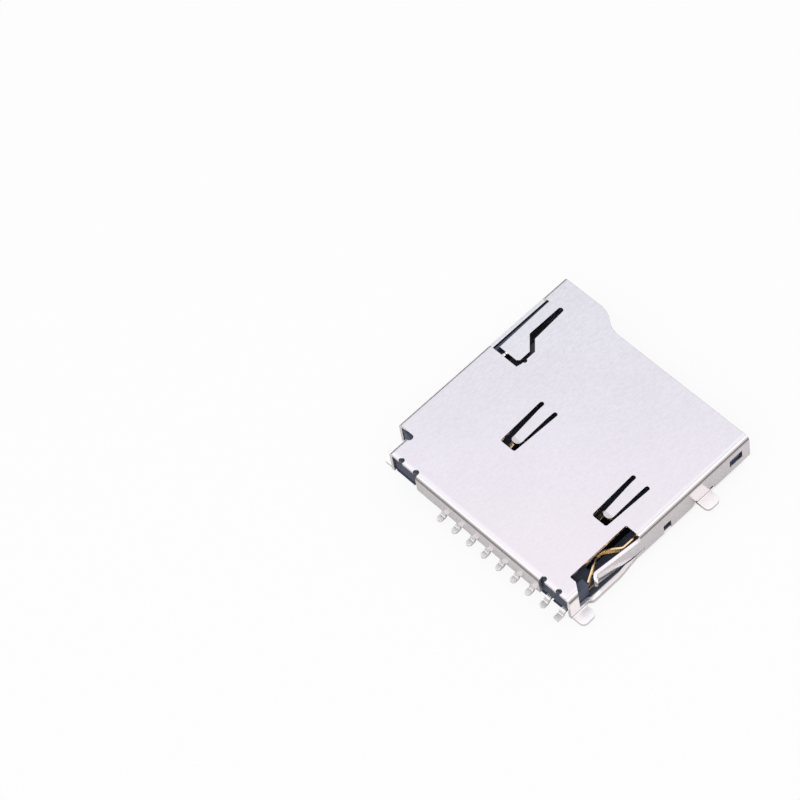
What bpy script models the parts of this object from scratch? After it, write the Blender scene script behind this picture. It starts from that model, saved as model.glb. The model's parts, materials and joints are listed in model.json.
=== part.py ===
"""A push-push socket for a small memory card: a moulded base under a folded sheet cover.

X runs across the card, Y from the card mouth to the solder tails, Z up from the circuit board.
The origin is on the board plane, midway between the cover's walls, on the line of the two pegs.
Sizes are in millimetres, and each mesh is scaled to metres as it is made.
"""

import math

import bmesh
import bpy
from mathutils import Matrix, Vector

MM = 0.001
WELD = 0.0002
DIGITS = 4
ARC_STEPS = 5
BEYOND = 1.0

# Cover, one folded sheet
SHEET = 0.2
FOLD_RADIUS = 0.2
COVER_TOP = 1.85
WALL_FOOT = 0.12
FRONT = -3.18
LIP = -3.92
LIP_START = 2.9
LIP_END = 3.9
LIP_RADIUS = 1.6
REAR = 10.3
STEP_Y = 8.7
STEP_WIDTH = 0.9
STEP_RELIEF = 0.4
STEP_NOTCH_X = 5.95
FLANGE_LOW = 0.55
FLANGE_OVERHANG = 0.16
FLANGE_LEFT = -5.08
FLANGE_RIGHT = 4.14
RELIEF_RADIUS = 0.17
RELIEF_STEP = 1.1

# Press tongues cut in the cover's top
TONGUE_XS = (1.88, -4.92)
TONGUE_ROOT = 2.56
TONGUE_LENGTH = 2.77
TONGUE_ROOT_WIDTH = 0.73
TONGUE_TIP_WIDTH = 0.57
TONGUE_TIP_RISE = 0.3
TONGUE_DROP = 0.24
TONGUE_SLOT = 0.28
TONGUE_END_GAP = 0.45
TONGUE_WINDOW_REAR = 1.04

# Spring tongue that holds the cam link down
CAM_TONGUE_ROOT = -2.24
CAM_TONGUE_TIP = 1.62
CAM_ROOT_WIDTH = 0.7
CAM_WAIST_WIDTH = 0.68
CAM_HEAD_WIDTH = 1.49
CAM_WAIST_Y = -0.06
CAM_TONGUE_DROP = 0.05
CAM_ROOT_GAP = 0.31
CAM_WAIST_GAP = 0.46
CAM_HEAD_GAP = 0.24
CAM_SLOT_WAIST_Y = 0
CAM_REAR_GAP = 0.31
CAM_CORNER = 0.15
CAM_TAPER = 0.06
CAM_WALL_TOP = 1.62
CAM_NOTCH_Y = 1.36
CAM_NOTCH_RADIUS = 0.13

# Solder tabs and openings in the side walls
TAB_WIDTH = 1.0
TAB_REACH = 0.8
TAB_CORNER = 0.3
TAB_FOLD = 0.15
TAB_RELIEF = 0.22
TAB_RELIEF_TOP = 0.42
TAB_RELIEF_RADIUS = 0.09
TAB_TOP = 0.4
FRONT_TAB_Y = 0.38
REAR_TAB_Y = 9.72
LATCH_LENGTH = 0.95
LATCH_LOW = 0.6
LATCH_HIGH = 1.2
FRONT_LATCH_Y = -2.13
REAR_LATCH_Y = 7.6
NOTCH_Y = 3.1
NOTCH_LENGTH = 0.55
NOTCH_TOP = 0.82

# Card detect window and the cover's own switch leaf
WINDOW_FRONT = 5.03
WINDOW_REAR = 9.2
WINDOW_DEPTH = 1.05
WINDOW_WALL_TOP = 0.42
WINDOW_CORNER = 0.44
WINDOW_RADIUS = 0.08
SLIT_HOLE_Y = 4.88
SLIT_HOLE_RADIUS = 0.06
STRIP_BOW = 0.2
STRIP_BOW_RISE = 1.8
STRIP_BOW_RADIUS = 1.0
LEAF_LOW = 0.5
LEAF_HIGH = 1.5
LEAF_LENGTH = 3.0
LEAF_INSET = 0.28
LEAF_HOOK = 0.16

# Moulded base
CLEAR = 0.03
FLOOR = 0.4
LEDGE = 0.1
LEDGE_OUT = 0.15
FRONT_SETBACK = 0.05
REAR_SETBACK = 0.14
SLIDER_WALL = 0.27
CARD_LEFT = -6.5
CARD_WIDTH = 11.1
CARD_GUIDE = 0.26
CARD_STOP = 9.45
CARD_NOSE = 3.3
RETAINER_TOP = 0.7
POST_FRONT = 8.72
POST_TOP = 1.45
RIM_GAP = 0.11
LATCH_GAP = 0.09
MOUTH_CHAMFER = 0.18
TAIL_NOTCH = 0.2
SLOPE_START = 3.0
SLOPE_WIDTH = 1.7
SLOPE_LENGTH = 1.1
SLOPE_RISE = 0.28
PEG_LEFT = -4.93
PEG_RIGHT = 3.03
PEG_RADIUS = 0.39
PEG_HEIGHT = 0.56
PEG_CHAMFER = 0.1

# Contacts
CONTACTS = 8
PITCH = 1.1
DETECT_INSET = 0.6
ROW_TO_RIGHT = 5.02
STRIP = 0.15
CONTACT_WIDTH = 0.34
CONTACT_TIP_WIDTH = 0.26
CONTACT_LEVEL = 0.32
CONTACT_RISE = 0.66
TIP_LENGTH = 0.45
TIP_FALL = 0.26
BEAM_LENGTH = 2.75
SLOT_WIDTH = 0.55
SLOT_FRONT = 3.89
SLOT_REAR = 7.8
TAIL_LENGTH = 0.42
TAIL_CORNER = 0.12
STRIP_RADIUS = 0.14

# Card detect contact
DETECT_STRIP = 0.1
DETECT_LOW = 0.98
DETECT_HIGH = 1.3
DETECT_ROOT = 4.45
DETECT_BULGE = 0.68
DETECT_END_OUT = 0.1
DETECT_LENGTH = 4.15
BLADE_SLOPE_START = 1.44
BLADE_SLOPE_MID = 1.84
BLADE_CREST_START = 2.32
BLADE_CREST_END = 2.76
BLADE_RADIUS = 0.3
DETECT_POCKET_FRONT = 4.13
DETECT_POCKET_REAR = 5.13

# Slider, spring and cam link
TRAVEL = 4.1
SLIDER_TOP = 1.27
SLIDER_LEFT = 4.94
SLIDER_REAR = 3.2
BOSS_LEFT = 5.06
BOSS_WIDTH = 0.72
BOSS_FRONT = -3.12
BOSS_LENGTH = 2.87
BOSS_LIFT = 0.04
BOSS_CORNER = 0.14
SLOT_SIDE_GAP = 0.05
SLOT_END_GAP = 0.28
ARM_FRONT = 0.5
ARM_THICK = 0.8
ARM_GAP = 0.22
SPRING_X = 4.21
SPRING_Z = 0.98
SPRING_OUTER = 1.06
SPRING_WIRE = 0.16
SPRING_TURNS = 17
SPRING_END_TURNS = 2
SPRING_POINTS = 14
SPRING_WINDOW_WIDTH = 1.4
SPRING_WINDOW_LENGTH = 3.36
STUB_RADIUS = 0.28
STUB_LENGTH = 0.8
PIVOT_X = 6.45
PIVOT_Y = -2.78
PIVOT_BLOCK = 0.42
LINK_WIRE = 0.26
LINK_LENGTH = 5.3
LINK_LEAN = 2.2
LINK_SWING = 5.4
LINK_BEND = 0.22
LINK_FOOT = 0.06
PIN_DEPTH = 0.36
CAM_DEPTH = 0.42
CAM_LOCK_STROKE = 3.4
HEART_WIDTH = 0.34

# Sizes that follow from those above
COVER_WIDTH = DETECT_INSET + PITCH * CONTACTS + ROW_TO_RIGHT
HALF = COVER_WIDTH / 2
PLATE_MID = COVER_TOP - SHEET / 2
PLATE_UNDER = COVER_TOP - SHEET
BASE_TOP = PLATE_UNDER - CLEAR
BASE_HALF = HALF - SHEET - CLEAR
STEP_HALF = HALF - STEP_WIDTH
BASE_STEP_HALF = STEP_HALF - SHEET - CLEAR
FLANGE_OUT = REAR + FLANGE_OVERHANG
BASE_REAR = REAR - REAR_SETBACK
CARD_RIGHT = CARD_LEFT + CARD_WIDTH
GUIDE_RIGHT = CARD_RIGHT + CARD_GUIDE
LANE_RIGHT = BASE_HALF - SLIDER_WALL
SLIDER_FRONT = BOSS_FRONT
SLIDER_RIGHT = LANE_RIGHT - CLEAR
SLIDER_LOW = FLOOR + CLEAR
LINK_LEVEL = SLIDER_TOP + CLEAR + LINK_WIRE / 2
HOLE_RADIUS = LINK_WIRE / 2 + CLEAR
PIVOT_BLOCK_LEFT = PIVOT_X - PIVOT_BLOCK
PIVOT_BLOCK_REAR = PIVOT_Y + PIVOT_BLOCK
SPRING_REAR = CARD_STOP - CLEAR
SPRING_FRONT = ARM_FRONT + ARM_THICK + CLEAR
DETECT_X = -HALF + DETECT_INSET
CONTACT_XS = [DETECT_X + PITCH * (index + 1) for index in range(CONTACTS)]


def clear_scene():
    """Remove what the file holds."""
    for item in list(bpy.data.objects):
        bpy.data.objects.remove(item, do_unlink=True)


def new_group(name):
    """A collection in the scene."""
    group = bpy.data.collections.new(name)
    bpy.context.scene.collection.children.link(group)
    return group


def new_material(name, colour, roughness, metallic):
    """A plain principled material."""
    material = bpy.data.materials.new(name)
    material.use_nodes = True
    shader = material.node_tree.nodes["Principled BSDF"]
    shader.inputs["Base Color"].default_value = (*colour, 1.0)
    shader.inputs["Roughness"].default_value = roughness
    shader.inputs["Metallic"].default_value = metallic
    material.diffuse_color = (*colour, 1.0)
    return material


def rounded(corners):
    """A line through (x, y, radius) corners, each corner an arc where its radius is not zero."""
    points = []
    for index, (x, y, radius) in enumerate(corners):
        here = Vector((x, y))
        if radius == 0:
            points.append(here)
            continue
        before = Vector(corners[index - 1][:2])
        after = Vector(corners[(index + 1) % len(corners)][:2])
        back = (before - here).normalized()
        ahead = (after - here).normalized()
        half = back.angle(ahead) / 2
        centre = here + (back + ahead).normalized() * (radius / math.sin(half))
        start = here + back * (radius / math.tan(half)) - centre
        end = here + ahead * (radius / math.tan(half)) - centre
        turn = start.angle_signed(end)
        for step in range(ARC_STEPS + 1):
            arm = Matrix.Rotation(-turn * step / ARC_STEPS, 2) @ start
            points.append(centre + arm)
    return points


def band(path, thickness):
    """The outline of a strip of even thickness that follows a path."""
    sides = [(b - a).normalized() for a, b in zip(path, path[1:])]
    left = []
    right = []
    for index, point in enumerate(path):
        first = sides[max(index - 1, 0)]
        last = sides[min(index, len(sides) - 1)]
        along = (first + last).normalized()
        normal = Vector((-along.y, along.x))
        reach = thickness / 2 / normal.dot(Vector((-first.y, first.x)))
        left.append(point + normal * reach)
        right.append(point - normal * reach)
    return left + right[::-1]


def mesh_object(name, mesh, group):
    """An object for a mesh, in a collection."""
    item = bpy.data.objects.new(name, mesh)
    group.objects.link(item)
    return item


def settle(shape, mesh):
    """Store a shape drawn in millimetres as a mesh in metres, faces outward, equal sizes exactly equal."""
    bmesh.ops.recalc_face_normals(shape, faces=shape.faces)
    if shape.calc_volume(signed=True) < 0:
        bmesh.ops.reverse_faces(shape, faces=shape.faces)
    for vert in shape.verts:
        vert.co = [round(value, DIGITS) * MM for value in vert.co]
    shape.to_mesh(mesh)
    shape.free()


def curve_to_mesh(curve, place, group):
    """Replace a curve object by a welded mesh object, moved to its place."""
    graph = bpy.context.evaluated_depsgraph_get()
    mesh = bpy.data.meshes.new_from_object(curve.evaluated_get(graph))
    name = curve.name
    shape = bmesh.new()
    shape.from_mesh(mesh)
    bmesh.ops.remove_doubles(shape, verts=shape.verts, dist=WELD)
    shape.transform(place)
    settle(shape, mesh)
    bpy.data.objects.remove(curve, do_unlink=True)
    return mesh_object(name, mesh, group)


def plate(name, outline, low, high, group, axis="Z"):
    """A flat outline with thickness: in plan, or across X or Y when the axis says so."""
    turns = {
        "X": Matrix(((0, 0, 1, 0), (1, 0, 0, 0), (0, 1, 0, 0), (0, 0, 0, 1))),
        "Y": Matrix.Rotation(math.pi / 2, 4, "X") @ Matrix.Scale(-1, 4, (0, 0, 1)),
        "Z": Matrix.Identity(4),
    }
    data = bpy.data.curves.new(name, "CURVE")
    data.dimensions = "2D"
    data.fill_mode = "BOTH"
    data.extrude = (high - low) / 2
    spline = data.splines.new("POLY")
    spline.points.add(len(outline) - 1)
    for point, place in zip(spline.points, outline):
        point.co = (place[0], place[1], 0, 1)
    spline.use_cyclic_u = True
    curve = mesh_object(name, data, group)
    shift = Matrix.Translation((0, 0, (low + high) / 2))
    return curve_to_mesh(curve, turns[axis] @ shift, group)


def wire(name, points, diameter, group):
    """A round wire along points in space."""
    data = bpy.data.curves.new(name, "CURVE")
    data.dimensions = "3D"
    data.bevel_depth = diameter / 2
    data.bevel_resolution = 2
    data.use_fill_caps = True
    spline = data.splines.new("POLY")
    spline.points.add(len(points) - 1)
    for point, place in zip(spline.points, points):
        point.co = (*place, 1)
    curve = mesh_object(name, data, group)
    return curve_to_mesh(curve, Matrix.Identity(4), group)


def block(name, xs, ys, zs, group):
    """A box between two values on each axis."""
    shape = bmesh.new()
    bmesh.ops.create_cube(shape, size=1)
    size = Matrix.Diagonal((xs[1] - xs[0], ys[1] - ys[0], zs[1] - zs[0], 1))
    middle = Matrix.Translation((sum(xs) / 2, sum(ys) / 2, sum(zs) / 2))
    shape.transform(middle @ size)
    mesh = bpy.data.meshes.new(name)
    settle(shape, mesh)
    return mesh_object(name, mesh, group)


def drum(name, centre, radius, length, group, axis="Z", chamfer=0):
    """A round pin or hole tool, centred, with an optional chamfer at its lower end."""
    turns = {
        "X": Matrix.Rotation(math.pi / 2, 4, "Y"),
        "Y": Matrix.Rotation(-math.pi / 2, 4, "X"),
        "Z": Matrix.Identity(4),
    }
    shape = bmesh.new()
    bmesh.ops.create_cone(
        shape,
        cap_ends=True,
        segments=24,
        radius1=radius,
        radius2=radius,
        depth=length,
    )
    if chamfer:
        rim = [edge for edge in shape.edges if all(vert.co.z < 0 for vert in edge.verts)]
        bmesh.ops.bevel(
            shape, geom=rim, offset=chamfer, segments=1, profile=0.5, affect="EDGES", material=-1
        )
    shape.transform(Matrix.Translation(centre) @ turns[axis])
    mesh = bpy.data.meshes.new(name)
    settle(shape, mesh)
    return mesh_object(name, mesh, group)


def combine(target, tools, operation):
    """Join or cut an object with others, which then only serve as tools."""
    for tool in tools:
        change = target.modifiers.new(tool.name, "BOOLEAN")
        change.object = tool
        change.operation = operation
        change.solver = "EXACT"
        tool.hide_render = True
        tool.display_type = "WIRE"


def set_origin(item, place):
    """Move an object's origin to a place, with its shape left where it is."""
    origin = Vector(place) * MM
    item.data.transform(Matrix.Translation(-origin))
    item.location = origin


def finish(item, material):
    """Give a part its material and smooth shading up to its sharp edges."""
    item.data.materials.clear()
    item.data.materials.append(material)
    item.data.shade_smooth()
    item.data.set_sharp_from_angle(angle=math.radians(30))


def front_outline(setback):
    """The front edge from left to right: straight, then an S out to the lip beside the mouth."""
    return [
        (LIP_START, FRONT + setback, LIP_RADIUS),
        (LIP_END, LIP + setback, LIP_RADIUS),
    ]


def round_corners(item, radius, chosen):
    """Round the upright edges of an object whose middle point passes a test."""
    shape = bmesh.new()
    shape.from_mesh(item.data)
    shape.transform(Matrix.Scale(1 / MM, 4))
    bmesh.ops.dissolve_limit(shape, angle_limit=0.01, verts=shape.verts, edges=shape.edges)
    edges = []
    for edge in shape.edges:
        a, b = (vert.co for vert in edge.verts)
        upright = (a - b).xy.length < WELD
        if upright and chosen((a + b) / 2):
            edges.append(edge)
    bmesh.ops.bevel(
        shape, geom=edges, offset=radius, segments=ARC_STEPS, profile=0.5, affect="EDGES", material=-1
    )
    settle(shape, item.data)


def solder_tab(name, wall_x, side, y, group):
    """A foot folded out from the lower edge of a side wall; side is -1 on the left, 1 on the right."""
    middle = wall_x - side * SHEET / 2
    tip = wall_x + side * TAB_REACH
    path = rounded([(middle, TAB_TOP, 0), (middle, SHEET / 2, TAB_FOLD), (tip, SHEET / 2, 0)])
    tab = plate(name, band(path, SHEET), y - TAB_WIDTH / 2, y + TAB_WIDTH / 2, group, "Y")
    round_corners(tab, TAB_CORNER, lambda spot: abs(spot.x - tip) < WELD)
    return tab


def tab_relief(name, edge_y, way, spans, group):
    """The small round-topped notch beside a tab, with the wall's corner cut off; way is -1 or 1 along Y."""
    far = edge_y + way * TAB_RELIEF
    corner = WALL_FOOT + CLEAR
    outline = rounded([
        (edge_y, WALL_FOOT - BEYOND, 0),
        (edge_y, TAB_RELIEF_TOP, TAB_RELIEF_RADIUS),
        (far, TAB_RELIEF_TOP, TAB_RELIEF_RADIUS),
        (far, 2 * corner - CLEAR, 0),
        (far + way * corner, corner - CLEAR, 0),
        (far + way * corner, WALL_FOOT - BEYOND, 0),
    ])
    return plate(name, outline, *spans, group, "X")


def press_tongue(name, x, group):
    """A tapered finger that bends down from its root to press on the card, with a short rising tip."""
    root_half = TONGUE_ROOT_WIDTH / 2
    tip_half = TONGUE_TIP_WIDTH / 2
    bridge = TONGUE_ROOT + TONGUE_SLOT
    tip = TONGUE_ROOT + TONGUE_LENGTH
    low = PLATE_MID - TONGUE_DROP
    path = rounded([
        (TONGUE_ROOT + TONGUE_SLOT / 2, PLATE_MID, 0),
        (bridge + TONGUE_SLOT, PLATE_MID, TONGUE_LENGTH),
        (tip - TONGUE_TIP_RISE, low, TONGUE_TIP_RISE),
        (tip + CLEAR, low + SHEET / 2, 0),
    ])
    spans = (x - root_half - CLEAR, x + root_half + CLEAR)
    tongue = plate(name, band(path, SHEET), *spans, group, "X")
    outline = rounded([
        (x - root_half, TONGUE_ROOT, 0),
        (x - root_half, bridge, 0),
        (x - tip_half, tip, tip_half - CLEAR),
        (x + tip_half, tip, tip_half - CLEAR),
        (x + root_half, bridge, 0),
        (x + root_half, TONGUE_ROOT, 0),
    ])
    trim = plate(f"{name} trim", outline, 0, COVER_TOP + BEYOND, group)
    combine(tongue, [trim], "INTERSECT")
    return tongue


def tongue_window(name, x, group):
    """The opening round a press tongue: two slots with round ends that meet beyond its tip."""
    corner = (TONGUE_SLOT - CLEAR) / 2
    inner = TONGUE_ROOT_WIDTH / 2
    outer = inner + TONGUE_SLOT
    narrow = TONGUE_WINDOW_REAR / 2
    bridge = TONGUE_ROOT + TONGUE_SLOT
    rear = TONGUE_ROOT + TONGUE_LENGTH + TONGUE_END_GAP
    outline = rounded([
        (x - inner, bridge, 0),
        (x - inner, TONGUE_ROOT, corner),
        (x - outer, TONGUE_ROOT, corner),
        (x - narrow, rear, corner),
        (x + narrow, rear, corner),
        (x + outer, TONGUE_ROOT, corner),
        (x + inner, TONGUE_ROOT, corner),
        (x + inner, bridge, 0),
    ])
    return plate(name, outline, PLATE_UNDER - BEYOND / 2, COVER_TOP + BEYOND, group)


def cam_window():
    """The opening round the cam tongue: its slot from the round front end, out through the side wall."""
    outer = SLIDER_RIGHT + CLEAR
    outside = HALF + BEYOND
    near = outer - CAM_ROOT_WIDTH
    waist = outer - CAM_WAIST_WIDTH - CAM_WAIST_GAP
    head = outer - CAM_HEAD_WIDTH - CAM_HEAD_GAP
    front = CAM_TONGUE_ROOT - CAM_ROOT_GAP / 2
    rear = CAM_TONGUE_TIP + CAM_REAR_GAP
    end = (CAM_ROOT_GAP - CLEAR) / 2
    return rounded([
        (outside, CAM_TONGUE_ROOT, 0),
        (near, CAM_TONGUE_ROOT, 0),
        (near, front, end),
        (near - CAM_ROOT_GAP, front, end),
        (waist, CAM_SLOT_WAIST_Y, 0),
        (head, CAM_SLOT_WAIST_Y + waist - head, 0),
        (head, rear - 2 * CAM_CORNER, 0),
        (head + CAM_CORNER / 2, rear, 0),
        (outside, rear, 0),
    ])


def cam_tongue(group):
    """The spring tongue over the cam link: slim at its root, wide at its head, sloping down a little."""
    outer = SLIDER_RIGHT + CLEAR
    waist = outer - CAM_WAIST_WIDTH
    head = outer - CAM_HEAD_WIDTH
    low = PLATE_MID - CAM_TONGUE_DROP
    path = [
        Vector((CAM_TONGUE_ROOT - SHEET, PLATE_MID)),
        Vector((CAM_TONGUE_ROOT + SHEET, PLATE_MID)),
        Vector((CAM_TONGUE_TIP + CLEAR, low)),
    ]
    tongue = plate("cam tongue", band(path, SHEET), CARD_RIGHT, HALF, group, "X")
    outline = [
        (outer - CAM_ROOT_WIDTH, CAM_TONGUE_ROOT - BEYOND),
        (outer - CAM_ROOT_WIDTH, CAM_TONGUE_ROOT),
        (waist, CAM_WAIST_Y),
        (head, CAM_WAIST_Y + waist - head),
        (head, CAM_TONGUE_TIP - CAM_CORNER),
        (head + CAM_CORNER, CAM_TONGUE_TIP),
        (outer - CAM_TAPER, CAM_TONGUE_TIP),
        (outer, CAM_TONGUE_ROOT),
        (outer, CAM_TONGUE_ROOT - BEYOND),
    ]
    combine(tongue, [plate("cam tongue trim", outline, 0, COVER_TOP + BEYOND, group)], "INTERSECT")
    return tongue


def make_cover(parts, tools, steel):
    """The folded cover: top, walls, rear flange, tongues, leaf and four solder tabs."""
    foot = WALL_FOOT
    side = HALF - SHEET / 2
    path = rounded([
        (-side, foot, 0),
        (-side, PLATE_MID, FOLD_RADIUS),
        (side, PLATE_MID, FOLD_RADIUS),
        (side, foot, 0),
    ])
    cover = plate("shell_cover", band(path, SHEET), LIP - BEYOND, REAR, parts, "Y")

    outside = HALF + BEYOND
    front = rounded([
        (-outside, LIP - 2 * BEYOND, 0),
        (-outside, FRONT, 0),
        *front_outline(0),
        (outside, LIP, 0),
        (outside, LIP - 2 * BEYOND, 0),
    ])
    step_left = STEP_HALF - SHEET - CLEAR
    window_left = -HALF + WINDOW_DEPTH
    window = rounded([
        (-outside, WINDOW_FRONT, 0),
        (window_left, WINDOW_FRONT, WINDOW_RADIUS),
        (window_left, WINDOW_REAR, WINDOW_RADIUS),
        (window_left - WINDOW_CORNER, WINDOW_REAR, 0),
        (-HALF, WINDOW_REAR + WINDOW_CORNER, 0),
        (-outside, WINDOW_REAR + WINDOW_CORNER, 0),
    ])
    step_corner = (STEP_RELIEF - CLEAR) / 2
    step_outline = rounded([
        (STEP_NOTCH_X, STEP_Y, step_corner),
        (outside, STEP_Y, 0),
        (outside, REAR + BEYOND, 0),
        (step_left, REAR + BEYOND, 0),
        (step_left, STEP_Y + STEP_RELIEF, 0),
        (STEP_NOTCH_X, STEP_Y + STEP_RELIEF, step_corner),
    ])
    through = (-BEYOND, COVER_TOP + BEYOND)
    notch_x = SLIDER_RIGHT + CLEAR - CAM_HEAD_WIDTH - CAM_HEAD_GAP
    strip_rear = WINDOW_REAR - SHEET
    strip_room = (WINDOW_FRONT + SHEET, WINDOW_REAR - SHEET / 2)
    slit_z = (WINDOW_WALL_TOP + LEAF_LOW) / 2
    cuts = [
        plate("front cut", front, *through, tools),
        plate("step cut", step_outline, *through, tools),
        block(
            "flange cut",
            (FLANGE_LEFT - RELIEF_RADIUS, FLANGE_RIGHT + RELIEF_RADIUS),
            (REAR - SHEET, REAR + BEYOND),
            through,
            tools,
        ),
        plate("detect window", window, WINDOW_WALL_TOP, COVER_TOP + BEYOND, tools),
        block("strip room", (-outside, -BASE_HALF), strip_room, (0, WINDOW_WALL_TOP + CLEAR), tools),
        drum("slit hole", (-HALF, SLIT_HOLE_Y, slit_z), SLIT_HOLE_RADIUS, 3 * SHEET, tools, "X"),
        plate("cam tongue window", cam_window(), CAM_WALL_TOP, COVER_TOP + BEYOND, tools),
        drum("cam slot notch", (notch_x, CAM_NOTCH_Y, PLATE_MID), CAM_NOTCH_RADIUS, BEYOND, tools),
    ]
    for index, x in enumerate(TONGUE_XS):
        cuts.append(tongue_window(f"tongue window {index + 1}", x, tools))
    reliefs = [FLANGE_LEFT - RELIEF_RADIUS, FLANGE_RIGHT + RELIEF_RADIUS]
    reliefs += [reliefs[0] - RELIEF_STEP, reliefs[1] + RELIEF_STEP]
    for index, x in enumerate(reliefs):
        place = (x, REAR - SHEET / 2, PLATE_MID)
        cuts.append(drum(f"rear relief {index + 1}", place, RELIEF_RADIUS, BEYOND, tools))
    for label, low, high in (("left", -outside, -BASE_HALF), ("right", BASE_HALF, outside)):
        openings = [("front latch", FRONT_LATCH_Y, LATCH_LENGTH, LATCH_LOW, LATCH_HIGH)]
        openings.append(("wall notch", NOTCH_Y, NOTCH_LENGTH, 0, NOTCH_TOP))
        if label == "right":
            openings.append(("rear latch", REAR_LATCH_Y, LATCH_LENGTH, LATCH_LOW, LATCH_HIGH))
        for name, y, length, bottom, top in openings:
            spans = ((low, high), (y - length / 2, y + length / 2), (bottom, top))
            cuts.append(block(f"{label} {name}", *spans, tools))
        for way in (-1, 1):
            edge_y = FRONT_TAB_Y + way * TAB_WIDTH / 2
            cuts.append(tab_relief(f"{label} tab relief {way}", edge_y, way, (low, high), tools))
    combine(cover, cuts, "DIFFERENCE")

    flange_y = FLANGE_OUT - SHEET / 2
    flange = rounded([
        (REAR - 3 * SHEET, PLATE_MID, 0),
        (flange_y, PLATE_MID, FOLD_RADIUS),
        (flange_y, FLANGE_LOW, 0),
    ])
    step_x = STEP_HALF - SHEET / 2
    step = rounded([
        (step_x - 3 * SHEET, PLATE_MID, 0),
        (step_x, PLATE_MID, FOLD_RADIUS),
        (step_x, foot, 0),
    ])
    root_y = WINDOW_FRONT - SHEET
    leaf_tip = WINDOW_FRONT + LEAF_LENGTH
    leaf = rounded([
        (-side, root_y, 0),
        (-side, WINDOW_FRONT + SHEET, 2 * FOLD_RADIUS),
        (-side + LEAF_INSET, leaf_tip, FOLD_RADIUS),
        (-side + LEAF_INSET - LEAF_HOOK, leaf_tip + LEAF_HOOK, 0),
    ])
    strip = rounded([
        (-side, WINDOW_FRONT, 0),
        (-side, WINDOW_FRONT + 2 * SHEET, STRIP_BOW_RADIUS),
        (-side - STRIP_BOW, WINDOW_FRONT + STRIP_BOW_RISE, STRIP_BOW_RADIUS),
        (-side - STRIP_BOW, strip_rear - SHEET, FOLD_RADIUS),
        (-side, strip_rear, FOLD_RADIUS),
        (-side, WINDOW_REAR + CLEAR, 0),
    ])
    additions = [
        plate("rear flange", band(flange, SHEET), FLANGE_LEFT, FLANGE_RIGHT, tools, "X"),
        plate("step wall", band(step, SHEET), STEP_Y + STEP_RELIEF, REAR, tools, "Y"),
        plate("switch leaf", band(leaf, SHEET), LEAF_LOW, LEAF_HIGH, tools),
        plate("bowed strip", band(strip, SHEET), foot, WINDOW_WALL_TOP, tools),
        cam_tongue(tools),
        solder_tab("front left tab", -HALF, -1, FRONT_TAB_Y, tools),
        solder_tab("rear left tab", -HALF, -1, REAR_TAB_Y, tools),
        solder_tab("front right tab", HALF, 1, FRONT_TAB_Y, tools),
        solder_tab("rear right tab", STEP_HALF, 1, REAR_TAB_Y, tools),
    ]
    for index, x in enumerate(TONGUE_XS):
        additions.append(press_tongue(f"press tongue {index + 1}", x, tools))
    combine(cover, additions, "UNION")
    finish(cover, steel)
    return cover


def base_outline(side, rear_side):
    """The base in plan, with its side edges out to one width and its rear to another."""
    return rounded([
        (-side, FRONT + FRONT_SETBACK, 0),
        *front_outline(FRONT_SETBACK),
        (side, LIP + FRONT_SETBACK, 0),
        (side, STEP_Y - CLEAR, 0),
        (BASE_STEP_HALF, STEP_Y + STEP_RELIEF / 2, 0),
        (BASE_STEP_HALF, BASE_REAR, 0),
        (-rear_side, BASE_REAR, 0),
        (-rear_side, STEP_Y, 0),
        (-side, STEP_Y, 0),
    ][: 9 if side > rear_side else 7])


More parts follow.
